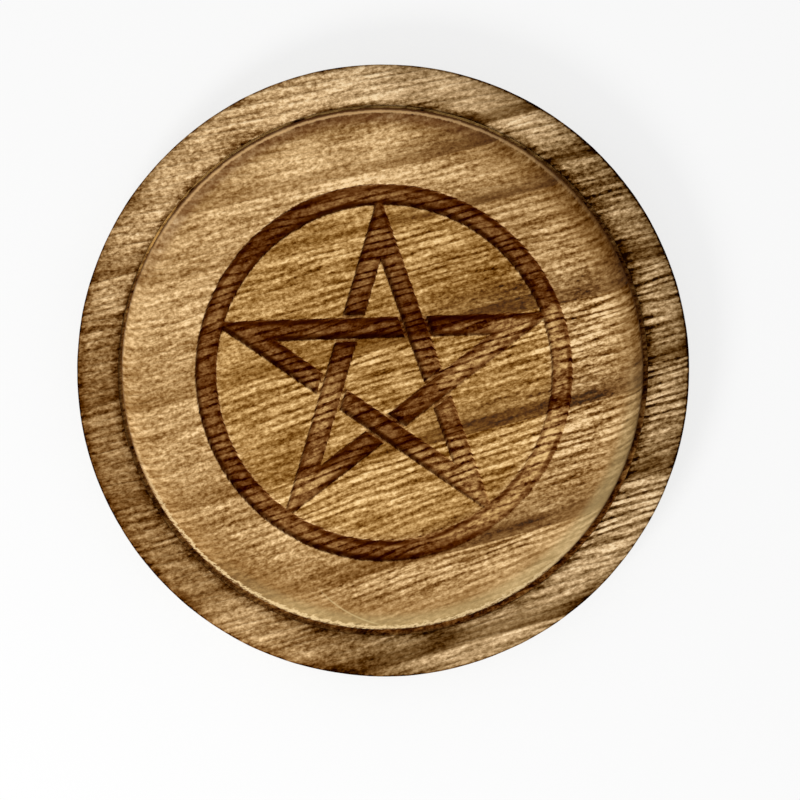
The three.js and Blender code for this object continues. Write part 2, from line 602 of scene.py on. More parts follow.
        # the pale lines below and above: rubbed bare wood with a painted highlight
        edge_tone = net.mix(line * below * 0.8, edge_tone, self.rubbed_lit_tone)
        edge_tone = net.mix(line * above * 0.7, edge_tone, self.bright_lit_tone)
        # charred, and painted with shade, where the edge dips into the joint
        return net.mix(charred * 0.9, edge_tone, self.charred_shade_tone)

    def scratch(self, net: Network, wood: Figure, bare: Socket) -> Socket:
        """Colour with one pale hairline scratch, an arc near the lower edge.

        Args:
            net: The material's network.
            wood: The figure of the wood.
            bare: Colour of the wood before.

        Returns:
            The colour.
        """
        x, y = self.scratch_middle
        away = abs(net.length(wood.x - x, wood.y - y) - self.scratch_radius)
        ends = net.step(wood.x, -12.0, -9.5) * net.step(wood.x, -1.0, -3.0) * net.step(wood.y, -33.0, -34.5)
        return net.mix(net.step(away, 0.16, 0.05) * ends * 0.55, bare, self.scratch_tone)

    def engraved(self, net: Network, wood: Figure, lightness: Value, bare: Socket) -> Socket:
        """Colour with the engraving burnt in: brown with dark pores, and singed along its edges.

        Args:
            net: The material's network.
            wood: The figure of the wood.
            lightness: Lightness of the bare wood.
            bare: Colour of the bare wood.

        Returns:
            The colour.
        """
        edge, burn, singe, weave = (net.attribute(name) for name in (ENGRAVED, BURN, SINGE, WEAVE))
        ragged = edge + wood.streak * 0.1 + wood.speck * 0.1
        toned = weave * (net.step(wood.x, -6.0, 2.0) * 0.2 + 0.72)
        floor = net.math("MAXIMUM", net.step(ragged, 0.16, -0.06), toned)
        heat = wood.blots(self.heat_size, self.heat_level, 1.0)
        hard = net.math("MAXIMUM", singe - 1.0, 0.0)
        wide = singe * 0.38 - hard * 0.5 + 0.75
        char = net.step(abs(ragged + singe * 0.2 - hard * 0.15 + 0.25) / wide, 0.6, 0.15)
        char = char * net.math("MAXIMUM", singe * 0.32 + heat * 0.25 - wood.streak * 0.15 + 0.22, 0.0)
        lines = net.step(wood.pore, 0.1, -0.8)
        grain = (lightness - 0.5) * (1.0 - burn * 0.45) + wood.speck * 0.05 + heat * 0.04
        deep = grain + 0.53 - burn * 0.25 - lines * (burn * 0.1 + 0.05)
        return net.mix(floor, bare, net.ramp(deep - deep * char * (burn * 0.4 + 0.6), self.burnt_tones))

    def colour(self, net: Network, wood: Figure, lightness: Value) -> Socket:
        """Colour of the golden wood, amber inside the ring, with its wear and the engraving.

        Args:
            net: The material's network.
            wood: The figure of the wood.
            lightness: Lightness of the bare wood.

        Returns:
            The colour.
        """
        golden, amber = (net.ramp(lightness, tones) for tones in (self.tones, self.amber_tones))
        bare = net.mix(self.inside_ring(net, wood), golden, amber)
        late = net.step(wood.age, 0.6, 0.9) * net.step(wood.x, -5.0, 15.0)
        bare = net.mix(late * 0.13, bare, self.grey_tone)
        bare = self.edge_wear_and_shade(net, wood, self.scratch(net, wood, bare))
        return self.engraved(net, wood, lightness, bare)


@dataclass(frozen=True)
class ScorchedWood(WoodFinish):
    """Wood scorched with a flame and brushed, darkest beside the joint, where the disc's shadow is painted,
    and at the outer edge, with a painted dark outline.
    """

    warm_tones: Stops = shades(
        (0.0, (26, 4, 0)), (0.17, (76, 38, 0)), (0.80, (234, 197, 145)), (0.90, (252, 220, 172))
    )  # on the left
    inner: float = 43.2  # radius of the edge beside the joint
    outer: float = 50.0  # radius of the outer edge
    scorch: float = 0.11  # how much darker the flame left the whole rim
    joint_shade: float = 0.27  # painted shadow of the disc, with some scorch: how much darker the wood is beside the joint
    joint_reach: float = 1.3  # how far out that shows
    edge_shade: float = 0.18  # how much darker the wood is at the outer edge
    line_shade: float = 0.2  # painted shade: how much darker its last line, an outline, is
    blot_size: float = 4.0
    blot_level: float = 5.2

    def lightness(self, net: Network, wood: Figure) -> Value:
        """Lightness of the scorched wood.

        Args:
            net: The material's network.
            wood: The figure of the wood.

        Returns:
            The lightness, from 0 to 1.
        """
        bare = super().lightness(net, wood)
        ragged = wood.radius + wood.pore * 0.1 + wood.streak * 0.3 + wood.speck * 0.2
        right = net.step(wood.towards(30), 22.0, 42.0)
        lower = net.step(wood.towards(-50), 34.0, 42.0)
        upper = wood.towards(50) / self.outer
        blots = wood.blots(self.blot_size, self.blot_level)
        # painted shadow of the disc beside the joint, reaching further on the right and darker to the upper
        # right
        out = (ragged + blots * 0.6 - self.inner) / (right * 0.9 + self.joint_reach)
        joint = upper * 0.1 - lower * 0.06 - blots * 0.06 + self.joint_shade
        shade = net.step(out, 1.0, -0.2) * joint
        at_edge = net.step(ragged + blots * 0.5, self.outer - 2.0, self.outer + 0.1)
        shade = shade + at_edge * (self.edge_shade - upper * 0.05)
        # painted shade: a dark outline along the outer edge, stronger on the right
        painted_outline = net.step(wood.radius + right * 0.12, self.outer - 0.45, self.outer - 0.15)
        shade = shade + painted_outline * (right * 0.15 + self.line_shade)
        brushed = wood.pore * (net.step(wood.towards(-20), 10.0, 40.0) * 0.05)
        brushed = brushed + wood.speck * (net.step(wood.towards(130), 25.0, 45.0) * 0.1)
        return bare + brushed - self.scorch - shade

    def colour(self, net: Network, wood: Figure, lightness: Value) -> Socket:
        """Colour of the scorched wood, warmer on the left."""
        warm = net.step(wood.x, 5.0, -20.0)
        return net.mix(warm, net.ramp(lightness, self.tones), net.ramp(lightness, self.warm_tones))


@dataclass(frozen=True)
class PaleWood(WoodFinish):
    """Bare sanded wood, its pale tone partly a painted reflection of light from below, scorched only on top,
    where the joint lays it open, with painted light and shade on that strip.
    """

    charred_tones: Stops = shades((0.0, (26, 2, 0)), (0.17, (80, 38, 4)), (0.80, (238, 184, 104)))
    charred_heights: Span = (5.8, 5.9)
    joint: Span = (42.6, 43.3)  # radius, from the disc's side of the joint to the rim's
    joint_middle: float = 42.85
    corners: Span = (0.08, 0.3)  # out from the joint's middle on both sides; by the walls painted light offsets their shade
    blot_size: float = 3.0
    blot_level: float = 1.3

    def colour(self, net: Network, wood: Figure, lightness: Value) -> Socket:
        """Colour of the bare wood, charred on the strip that shows in the joint, least evenly at the top,
        with painted light towards the top, to the left and by the walls, and painted shade to the lower
        right.

        Args:
            net: The material's network.
            wood: The figure of the wood.
            lightness: Lightness of the bare wood.

        Returns:
            The colour.
        """
        upper = net.step(wood.towards(101.5), 20.0, 42.0)
        left = net.step(wood.x, 0.0, -30.0)
        rising = net.step(wood.radius + wood.speck * 0.15, *self.joint)
        corner = net.step(abs(wood.radius - self.joint_middle), *self.corners)
        blots = wood.blots(self.blot_size, self.blot_level)
        # painted light that offsets the joint's shade towards the top, to the left and by the walls; painted
        # shade to the lower right
        char = upper * (corner * 0.3 + 0.44) + left * 0.1 + rising * 0.14 + 0.2
        char = char + blots * (upper * 0.9 + 0.2) + wood.streak * 0.24 + wood.speck * 0.28
        on_top = net.step(wood.z, *self.charred_heights)
        return net.mix(on_top, net.ramp(lightness, self.tones), net.ramp(char, self.charred_tones))


@dataclass(frozen=True)
class TurnedPiece:
    """A Geometry Nodes tree that turns an outline about Z."""

    steps: int = 600
    unevenness: float = 0.3 * MM
    unevenness_size: float = 16 * MM
    path_radius: float = 10 * MM
    merging: float = 0.001 * MM

    def tree(self) -> bpy.types.NodeTree:
        """Builds the tree: the outline swept round a circle, closed at the axis and made slightly uneven."""
        tree = bpy.data.node_groups.new("turned_piece", "GeometryNodeTree")
        for name, kind in (
            ("Outline", "NodeSocketGeometry"),
            ("Turn Steps", "NodeSocketInt"),
            ("Unevenness", "NodeSocketFloat"),
            ("Unevenness Size", "NodeSocketFloat"),
            ("Seed", "NodeSocketFloat"),
            ("Wood", "NodeSocketMaterial"),
        ):
            tree.interface.new_socket(name=name, in_out="INPUT", socket_type=kind)
        tree.interface.new_socket(name="Piece", in_out="OUTPUT", socket_type="NodeSocketGeometry")
        net = Network(tree)
        given = net.node("NodeGroupInput").outputs

        def made(kind: str, sockets: dict) -> Socket:
            """Adds a geometry node and returns its geometry."""
            return net.node("GeometryNode" + kind, {}, sockets).outputs[0]

        outline = made("MeshToCurve", {"Mesh": given["Outline"]})
        outline = made("SetPosition", {"Geometry": outline, "Offset": (-self.path_radius, 0.0, 0.0)})
        path = made("CurvePrimitiveCircle", {"Resolution": given["Turn Steps"], "Radius": self.path_radius})
        swept = made("CurveToMesh", {"Curve": path, "Profile Curve": outline})
        closed = made("MergeByDistance", {"Geometry": swept, "Distance": self.merging})
        spot = net.vector_math("DIVIDE", {0: made("InputPosition", {}), 1: given["Unevenness Size"]})
        hills = net.node(
            "ShaderNodeTexNoise",
            {"noise_dimensions": "4D"},
            {"Vector": spot, "W": given["Seed"], "Scale": 1.0, "Detail": 5.0, "Roughness": 0.7},
        ).outputs[1]
        hills = net.vector_math("SUBTRACT", {0: hills, 1: (0.5, 0.5, 0.5)})
        level = net.vector_math("MULTIPLY", {0: hills, 1: (1.0, 1.0, 0.0)})
        offset = net.vector_math("SCALE", {0: level, "Scale": given["Unevenness"]})
        uneven = made("SetPosition", {"Geometry": closed, "Offset": offset})
        real = made("RealizeInstances", {"Geometry": made("SetShadeSmooth", {"Geometry": uneven})})
        dressed = made("SetMaterial", {"Geometry": real, "Material": given["Wood"]})
        net.node("NodeGroupOutput", {}, {0: dressed})
        return tree

    def turn(
        self, name: str, outline: list[Point], closed: bool, seed: float, wood: bpy.types.Material
    ) -> bpy.types.Object:
        """Turns an outline into a piece.

        Args:
            name: The piece's name.
            outline: Its (radius, height) points, in metres.
            closed: True if the last point joins the first, False if both lie on the axis.
            seed: Seed of the unevenness.
            wood: The piece's material.

        Returns:
            The piece, a plain mesh object at the origin.
        """
        links = [(i, i + 1) for i in range(len(outline) - 1)]
        if closed:
            links.append((len(outline) - 1, 0))
        mesh = bpy.data.meshes.new(name + "_outline")
        mesh.from_pydata([(r, -z, 0.0) for r, z in outline], links, [])
        source = placed(name + "_outline", mesh)
        tree = self.tree()
        modifier = source.modifiers.new("turned", "NODES")
        modifier.node_group = tree
        wanted = {
            "Turn Steps": self.steps,
            "Unevenness": self.unevenness,
            "Unevenness Size": self.unevenness_size,
            "Seed": seed,
            "Wood": wood,
        }
        for item in tree.interface.items_tree:
            if item.name in wanted:
                modifier[item.identifier] = wanted[item.name]
        evaluated = source.evaluated_get(bpy.context.evaluated_depsgraph_get())
        made = bpy.data.meshes.new_from_object(evaluated)
        source.modifiers.clear()
        bpy.data.objects.remove(source)
        made.name = name
        finish_mesh(made)
        return placed(name, made)


def placed(name: str, data: bpy.types.ID) -> bpy.types.Object:
    """Makes an object and puts it into the scene."""
    made = bpy.data.objects.new(name, data)
    bpy.context.collection.objects.link(made)
    return made


def finish_mesh(mesh: bpy.types.Mesh, sharp: float = math.radians(50)) -> None:
    """Turns a closed mesh's faces outwards and shades it smooth up to an angle.

    Args:
        mesh: The mesh.
        sharp: Angle from which an edge stays sharp.
    """
    work = bmesh.new()
    work.from_mesh(mesh)
    bmesh.ops.recalc_face_normals(work, faces=work.faces)
    work.to_mesh(mesh)
    work.free()
    mesh.shade_smooth()
    mesh.set_sharp_from_angle(angle=sharp)


@dataclass(frozen=True)
class Patch:
    """A soft round patch of a change, such as the flame's marks and painted light and shade. Millimetres."""

    x: float
    y: float
    size: float
    change: float
    rim_radius = 46.5  # of the rim's middle

    @classmethod
    def on_rim(cls, angle: float, size: float, change: float) -> "Patch":
        """A patch on the rim, at an angle in degrees from +X."""
        turn = math.radians(angle)
        return cls(cls.rim_radius * math.cos(turn), cls.rim_radius * math.sin(turn), size, change)

    def at(self, x: np.ndarray, y: np.ndarray) -> np.ndarray:
        """How much of the change reaches each place."""
        return self.change * np.exp(-((x - self.x) ** 2 + (y - self.y) ** 2) / (2 * self.size**2))


def mark_flame_and_light(mesh: bpy.types.Mesh, patches: tuple[Patch, ...]) -> None:
    """Writes to a mesh's vertices how much lighter they are, from the flame's marks and painted light and
    shade.

    Args:
        mesh: The mesh.
        patches: The flame's marks and the painted light and shade.
    """
    places = np.empty(3 * len(mesh.vertices))
    mesh.vertices.foreach_get("co", places)
    x, y, _ = places.reshape(-1, 3).T / MM
    change = sum(patch.at(x, y) for patch in patches)
    mesh.attributes.new(FLAME_AND_LIGHT, "FLOAT", "POINT").data.foreach_set("value", change)


# lightness of the rim and base board: the first eight patches, beside the joint, are painted shade and light;
# the rest are lighter and darker patches round the rim
RIM_PATCHES = (
    Patch(41.2, 15, 2.5, -0.12),
    Patch(33.6, 28.2, 2.5, -0.1),
    Patch(7.6, 43.1, 2.5, -0.16),
    Patch(-7.6, 43, 2, -0.1),
    Patch(-21.9, 37.9, 2.5, -0.22),
    Patch(-33.6, 28.2, 2.5, 0.09),
    Patch(7.6, -43.1, 2.5, -0.26),
    Patch(41.2, -15, 2.5, -0.06),
    Patch.on_rim(20, 10, 0.04),
    Patch.on_rim(40, 7, -0.08),
    Patch.on_rim(64, 9, 0.14),
    Patch.on_rim(98, 14, 0.26),
    Patch.on_rim(138, 14, 0.15),
    Patch.on_rim(162, 6, -0.04),
    Patch.on_rim(182, 10, -0.04),
    Patch.on_rim(218, 8, -0.06),
    Patch.on_rim(240, 9, 0.12),
    Patch.on_rim(261, 7, -0.1),
    Patch.on_rim(286, 9, 0.17),
    Patch.on_rim(322, 13, 0.16),
)
# lightness of the disc: flame marks together with painted light and shade, such as lighter to the left,
# darker to the upper right and darker on the shoulder above
DISC_PATCHES = (
    Patch(19, 15, 7, -0.12),
    Patch(27, 33, 6, -0.05),
    Patch(1, 33.5, 6, 0.1),
    Patch(36, 21, 4, -0.08),
    Patch(6, 2, 12, -0.03),
    Patch(25, -8, 6, -0.1),
    Patch(25, 3, 4, 0.05),
    Patch(23, 24, 4, 0.02),
    Patch(34, 13, 5, 0.06),
    Patch(-12, 20, 8, -0.07),
    Patch(-8, 32, 8, 0.16),
    Patch(-6, 38.5, 3.5, -0.14),
    Patch(8, 40.5, 3, -0.07),
    Patch(-30, 20, 9, 0.04),
    Patch(-35, 12, 8, 0.03),
    Patch(-24, -6, 5, 0.07),
    Patch(-19, -14, 6, -0.08),
    Patch(-24, 29, 6, 0.03),
    Patch(0, -20, 4, 0.12),
    Patch(25, -15, 4, 0.11),
    Patch(18, -26, 8, -0.06),
    Patch(30, -23, 5, -0.05),
    Patch(-18, -26, 7, 0.06),
    Patch(-26, -34, 6, -0.2),
    Patch(-4, -38, 8, -0.06),
    Patch(30.5, -29, 3.5, 0.19),
    Patch(20.5, -36.5, 3, 0.11),
)


def arc(centre: Point, run: float, rise: float, start: float, end: float, steps: int) -> list[Point]:
    """Points along part of an ellipse.

    Args:
        centre: Its centre, as (radius, height).
        run: Its half axis along the radius.
        rise: Its half axis along the height.
        start: First angle, in degrees.
        end: Last angle, in degrees.
        steps: Number of steps.

    Returns:
        The points, both ends included.
    """
    angles = [math.radians(start + (end - start) * i / steps) for i in range(steps + 1)]
    return [(centre[0] + run * math.cos(a), centre[1] + rise * math.sin(a)) for a in angles]


def divided(start: Point, end: Point, steps: int) -> list[Point]:
    """Points along a straight line, without its last one."""
    shares = [i / steps for i in range(steps)]
    return [(start[0] + (end[0] - start[0]) * s, start[1] + (end[1] - start[1]) * s) for s in shares]


@dataclass
class BaseBoard:
    """The base board: a turned disc with a rounded lower edge."""

    node: str = "base_disc"
    round_run: float = 1.2 * MM
    round_rise: float = 2.0 * MM
    round_steps: int = 12
    side_start: float = 0.4 * MM  # from the rounded edge to the side's first points
    side_steps: int = 8
    arris: float = 0.15 * MM
    arris_steps: int = 4
    face_steps: int = 24
    spare: float = 0.05 * MM  # left for the unevenness inside the CAD's edge
    seed: float = 3.0

    def outline(self) -> list[Point]:
        """The outline from the middle of the underside to the middle of the top."""
        low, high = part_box(self.node)
        bottom, top = low.z, high.z
        radius = high.x - self.spare
        foot = radius - self.round_run
        side = bottom + self.round_rise
        points = divided((0.0, bottom), (foot, bottom), self.face_steps)
        points += arc((foot, side), self.round_run, self.round_rise, -90, 0, self.round_steps)
        points += divided((radius, side + self.side_start), (radius, top - self.arris), self.side_steps)
        corner = (radius - self.arris, top - self.arris)
        points += arc(corner, self.arris, self.arris, 0, 90, self.arris_steps)
        points += divided((radius - 2 * self.arris, top), (0.0, top), self.face_steps)
        return points + [(0.0, top)]

    def build(self, turned: TurnedPiece, wood: bpy.types.Material) -> bpy.types.Object:
        """Builds the board."""
        return turned.turn("base_board", self.outline(), False, self.seed, wood)


@dataclass
class Rim:
    """The rim: a wall that faces the disc, a bevel, a land that climbs to the crest and a rolled edge."""

    node: str = "rim_ring"
    inner_radius: float = 43.2 * MM
    inner_wall: float = 0.6 * MM
    bevel_run: float = 1.2 * MM
    bevel_rise: float = 0.4 * MM
    roll_run: float = 2.8 * MM
    roll_rise: float = 0.6 * MM
    roll_steps: int = 20
    tuck: float = 0.3 * MM
    arris: float = 0.12 * MM
    arris_steps: int = 3
    spare: float = 0.12 * MM  # left for the unevenness inside the CAD's edge
    crest_spare: float = 0.03 * MM
    seed: float = 8.0

    def outline(self) -> list[Point]:
        """The closed outline, from the foot of the inner wall outwards."""
        low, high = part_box(self.node)
        bottom, crest = low.z, high.z - self.crest_spare
        inner, outer = self.inner_radius, high.x - self.spare
        edge = crest - self.roll_rise
        wall_top = bottom + self.inner_wall
        land = (inner + self.bevel_run, wall_top + self.bevel_rise)
        points = divided((inner, bottom), (outer - self.tuck, bottom), steps=6)
        points += divided((outer - self.tuck, bottom), (outer, edge), steps=4)
        roll = (outer - self.roll_run, edge)
        points += arc(roll, self.roll_run, self.roll_rise, 0, 90, self.roll_steps)[:-1]
        points += divided((roll[0], crest), land, steps=6)
        points += divided(land, (inner + self.arris, wall_top + self.arris / 3), steps=5)
        corner = (inner + self.arris, wall_top - self.arris)
        points += arc(corner, self.arris, self.arris, 90, 180, self.arris_steps)
        return points + divided((inner, wall_top - 2 * self.arris), (inner, bottom), steps=2)

    def build(self, turned: TurnedPiece, wood: bpy.types.Material) -> bpy.types.Object:
        """Builds the rim."""
        return turned.turn("rim", self.outline(), True, self.seed, wood)


@dataclass(frozen=True)
class SingedArc:
    """A stretch of the ring's edge that the tool singed hard. Millimetres and degrees."""

    radius: float
    angle: float
    half_span: float
    amount: float


@dataclass
class EngravedDisc:
    """The centre disc: a rounded shoulder and a flat top, engraved with an interlaced star in a ring."""

    node: str = "centre_disc"
    shoulder_run: float = 4.2 * MM
    shoulder_drop: float = 1.2 * MM
    shoulder_steps: int = 24
    foot_run: float = 0.1 * MM  # the wall's lower arris, inwards
    foot_rise: float = 0.3 * MM  # and upwards
    depth: float = 0.6 * MM
    least_depth: float = 0.3  # share of the depth where the tool spared the wood
    stroke: float = 3.4 * MM
    plain_margin: float = 11.8 * MM
    tip_overlap: float = 2.0 * MM
    weave_gap: float = 0.45 * MM
    star_points: int = 5
    middle: Point = (-0.1 * MM, 0.3 * MM)  # where the disc's middle came to lie
    off_centre: Point = (0.13 * MM, -0.37 * MM)  # where the engraving's middle came to lie
    light_burns: tuple[Patch, ...] = (
        Patch(20, 1, 5.5, 0.75),
        Patch(16, -2, 5, 0.65),
        Patch(10, 2.5, 3, 0.3),
        Patch(25, -13, 8, 0.78),
        Patch(17, -24, 6, 0.75),
        Patch(9, -28, 6, 0.65),
        Patch(10, -14, 6, 0.25),
        Patch(-10.5, -5, 3.5, 0.6),
        Patch(-11.5, -13, 4.5, 0.25),
        Patch(-14.5, -20, 4, 0.4),
        Patch(27, 4, 5, 0.3),
        Patch(12, 8, 6, -0.1),
        Patch(-15, 24, 6, -0.25),
    )  # spots that the tool spared or, where negative, burnt hard
    singed_arcs: tuple[SingedArc, ...] = (
        SingedArc(27.5, 277, 17, 0.9),
        SingedArc(30.4, 2, 13, 0.7),
        SingedArc(30.4, 330, 11, 0.7),
    )
    singed_bar: Point = (14.5, 8.3)  # middle of the bar's edge that was singed hard, in millimetres
    singed_bar_run: float = 7.0
    singe_width: float = 0.6
    wall_run: float = 0.24 * MM  # the engraving's walls lean by this much
    lip: float = 0.07 * MM  # the wood's edge is rounded by this much
    raggedness: float = 0.045 * MM
    other_levels: tuple[float, ...] = (0.2 * MM, -0.02 * MM, -0.12 * MM, -0.4 * MM, -0.75 * MM, -1.15 * MM)
    grid_half: float = 31.5 * MM  # of the grid that the contours are found on
    grid_cell: float = 0.15 * MM
    lattice_pitch: float = 1.2 * MM
    lattice_rise: float = 0.866  # from row to row, in pitches
    lattice_margin: float = 0.4  # left free along the border, in pitches
    lattice_gap: Span = (-1.5 * MM, 0.75 * MM)  # distances from the engraving's edge that it leaves out
    side_mark: float = 9.0  # stands for the side's distance from the engraving, in millimetres
    weave_inset: float = 0.05 * MM  # how far inside a bar its left wood is toned
    tolerance: float = 1e-6  # of the triangulation, in millimetres
    round_steps: int = 480
    sharp: float = math.radians(80)

    def distance(self, x: np.ndarray, y: np.ndarray, weave: bool = True) -> np.ndarray:
        """Distance from the edge of the engraving.

        Args:
            x: Places along X.
            y: Places along Y.
            weave: Whether wood is left where a bar passes under another.

        Returns:
            For each place the distance, negative inside the engraving.
        """
        x, y = x - self.off_centre[0], y - self.off_centre[1]
        count = self.star_points
        turn = 360 / count
        ring_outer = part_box(self.node)[1].x - self.plain_margin
        ring_inner = ring_outer - self.stroke
        outer = (ring_inner + self.tip_overlap) * math.cos(math.radians(turn))
        across = [towards(x, y, 90 + i * turn) for i in range(count)]

        def bar(index: int, widening: float) -> np.ndarray:
            """Distance from one bar, widened on both sides."""
            here = across[index % count]
            sides = np.maximum(here - outer - widening, outer - self.stroke - widening - here)
            tips = np.maximum(across[(index + 2) % count], across[(index - 2) % count]) - outer
            return np.maximum(sides, tips)

        found = np.abs(np.hypot(x, y) - (ring_outer + ring_inner) / 2) - self.stroke / 2
        for index in range(count):
            under = np.maximum(bar(index, 0.0), -bar(index - 1, self.weave_gap))
            found = np.minimum(found, under if weave else bar(index, 0.0))
        return found

    def ragged_distance(self, x: np.ndarray, y: np.ndarray) -> np.ndarray:
        """Distance from the engraving's edge as the tool left it, slightly ragged along the grain.

        Args:
            x: Places along X.
            y: Places along Y.

        Returns:
            For each place the distance, negative inside the engraving.
        """
        turn = Growth().fibre_turn
        along, across = towards(x, y, turn) / MM, towards(x, y, turn + 90) / MM
        waves = (
            np.sin(across * 3.7 + 2.3 * np.sin(along * 0.83) + 1.1 * np.sin(across * 0.61))
            + np.sin(across * 7.9 + 2.0 + 2.9 * np.sin(along * 0.57 + 1.0))
            + np.sin(along * 1.9 + across * 2.3 + 2.0 * np.sin(across * 1.27))
        )
        return self.distance(x, y) + self.raggedness * waves / 3

    def burn(self, x: np.ndarray, y: np.ndarray) -> np.ndarray:
        """How hard the engraving is burnt at each place, less than 1 where the tool spared it."""
        return np.prod([1 - spot.at(x / MM, y / MM) for spot in self.light_burns], axis=0)

    def singe(self, x: np.ndarray, y: np.ndarray) -> np.ndarray:
        """How strongly the engraving's edges are singed at each place.

        Args:
            x: Places along X.
            y: Places along Y.

        Returns:
            0 on an edge along Y, rising to 1 on one along X, and more where an edge was singed hard.
        """
        step = 0.1 * MM
        found = np.abs(self.distance(x, y + step) - self.distance(x, y - step)) / (2 * step)
        run = (x / MM - self.singed_bar[0]) / self.singed_bar_run
        rise = (y / MM - self.singed_bar[1]) / self.singe_width
        found += np.exp(-(run**2 + rise**2) / 2)
        x, y = x - self.off_centre[0], y - self.off_centre[1]
        radius, angle = np.hypot(x, y) / MM, np.degrees(np.arctan2(y, x))
        for line in self.singed_arcs:
            out = (radius - line.radius) / self.singe_width
            aside = ((angle - line.angle + 180) % 360 - 180) / line.half_span
            found += line.amount * np.exp(-(out**2) / 2 - aside**4)
        return found

    def contours(self) -> tuple[list[Point], Links]:
        """Lines of equal distance from the engraving's edge, by marching squares.

        Returns:
            The points of all lines, and the pairs of points that are linked.
        """
        count = int(round(2 * self.grid_half / self.grid_cell)) + 1
        axis = np.linspace(-self.grid_half, self.grid_half, count)
        field = self.ragged_distance(*np.meshgrid(axis, axis, indexing="ij"))
        points: list[Point] = []
        links: Links = []
        for level in sorted((self.lip, -self.wall_run, *self.other_levels), reverse=True):
            self._contour(field - level, axis, points, links)
        return points, links

    @staticmethod
    def _contour(field: np.ndarray, axis: np.ndarray, points: list[Point], links: Links) -> None:
        """Adds the line along which a field is zero.

        Args:
            field: Values on a square grid.
            axis: Places of the grid's lines.
            points: Points so far, to add to.
            links: Links so far, to add to.
        """
        inside = field < 0
        sides = ((0, 0, 1, 0), (1, 0, 1, 1), (0, 1, 1, 1), (0, 0, 0, 1))
        least, most = 0.1, 0.9  # shares of a cell's side, which keep points apart
        known: dict[tuple[int, int, int, int], int] = {}
        corners = inside[:-1, :-1].astype(int) + inside[1:, :-1] + inside[:-1, 1:] + inside[1:, 1:]
        for i, j in np.argwhere((corners > 0) & (corners < 4)):
            crossed = []
            for a, b, c, d in sides:
                first, second = (i + a, j + b), (i + c, j + d)
                if inside[first] == inside[second]:
                    continue
                key = (*first, *second)
                if key not in known:
                    share = min(max(field[first] / (field[first] - field[second]), least), most)
                    known[key] = len(points)
                    x, y = (float(axis[p] + (axis[q] - axis[p]) * share) for p, q in zip(first, second))
                    points.append((x, y))
                crossed.append(known[key])
            links += [(crossed[n], crossed[n + 1]) for n in range(0, len(crossed) - 1, 2)]

    def circle(self, radius: float) -> list[Point]:
        """Points round the disc's middle."""
        turns = [2 * math.pi * i / self.round_steps for i in range(self.round_steps)]
        return [(self.middle[0] + radius * math.cos(a), self.middle[1] + radius * math.sin(a)) for a in turns]

    def around(self) -> Links:
        """Each point of a circle with the next one."""
        return [(i, (i + 1) % self.round_steps) for i in range(self.round_steps)]

    def top_points(self, flat: float) -> tuple[list[Point], Links]:
        """Points and links of the flat top: its round border, the engraving's contours and a loose lattice.

        Args:
            flat: Radius of the flat top.

        Returns:
            The points, the border's first, and the links.
        """
        border = self.circle(flat)
        lines, pairs = self.contours()
        pitch, rise = self.lattice_pitch, self.lattice_pitch * self.lattice_rise
        wide, high = int(flat / pitch) + 1, int(flat / rise) + 1
        lattice = [
            (pitch * (i + 0.5 * (j % 2)), rise * j)
            for i in range(-wide, wide + 1)
            for j in range(-high, high + 1)
        ]
        reach = flat - self.lattice_margin * pitch
        places = np.array([p for p in lattice if math.dist(p, self.middle) < reach])
        away = self.distance(places[:, 0], places[:, 1])
        low, top = self.lattice_gap
        loose = [(float(x), float(y)) for x, y in places[(away > top) | (away < low)]]
        shift = len(border)
        return border + lines + loose, self.around() + [(a + shift, b + shift) for a, b in pairs]

    def build(self, wood: bpy.types.Material) -> bpy.types.Object:
        """Builds the disc.

        Args:
            wood: The disc's material.

        Returns:
            The piece.
        """
        low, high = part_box(self.node)
        radius, bottom, top = high.x, low.z, high.z
        flat = radius - self.shoulder_run
        points, links = self.top_points(flat)
        corners = [Vector((x / MM, y / MM)) for x, y in points]
        flat_points, _, faces, *_ = delaunay_2d_cdt(corners, links, [], 0, self.tolerance)
        x, y = np.array([(p.x * MM, p.y * MM) for p in flat_points]).T
        edge = self.ragged_distance(x, y)
        burn = self.burn(x, y)
        sink = np.clip((self.lip - edge) / (self.lip + self.wall_run), 0.0, 1.0)
        deep = self.depth * np.clip(self.least_depth + (1 - self.least_depth) * burn, 0.0, 1.0)
        z = top - deep * sink * sink * (3 - 2 * sink)
        under = (self.distance(x, y, weave=False) < -self.weave_inset) & (edge > 0)
        vertices = np.column_stack((x, y, z)).tolist()
        polygons = [tuple(f) for f in faces]
        shoulder = (flat, top - self.shoulder_drop)
        side = arc(shoulder, self.shoulder_run, self.shoulder_drop, 90, 0, self.shoulder_steps)[1:]
        side += [(radius, bottom + self.foot_rise), (radius - self.foot_run, bottom), (radius / 2, bottom)]
        previous = range(self.round_steps)
        for r, height in side:
            row = range(len(vertices), len(vertices) + self.round_steps)
            vertices += [(*place, height) for place in self.circle(r)]
            polygons += [(previous[i], row[i], row[j], previous[j]) for i, j in self.around()]
            previous = row
        polygons.append(tuple(reversed(previous)))
        mesh = bpy.data.meshes.new("engraved_disc")
        mesh.from_pydata(vertices, [], polygons)
        marks = (
            (ENGRAVED, edge / MM, self.side_mark),
            (BURN, burn, 0.0),
            (SINGE, self.singe(x, y), 0.0),
            (WEAVE, under, 0.0),
        )
        for name, on_top, beside in marks:
            numbers = np.append(on_top, np.full(len(vertices) - len(x), beside))
            mesh.attributes.new(name, "FLOAT", "POINT").data.foreach_set("value", numbers)
        mesh.materials.append(wood)
        finish_mesh(mesh, self.sharp)
        return placed("engraved_disc", mesh)


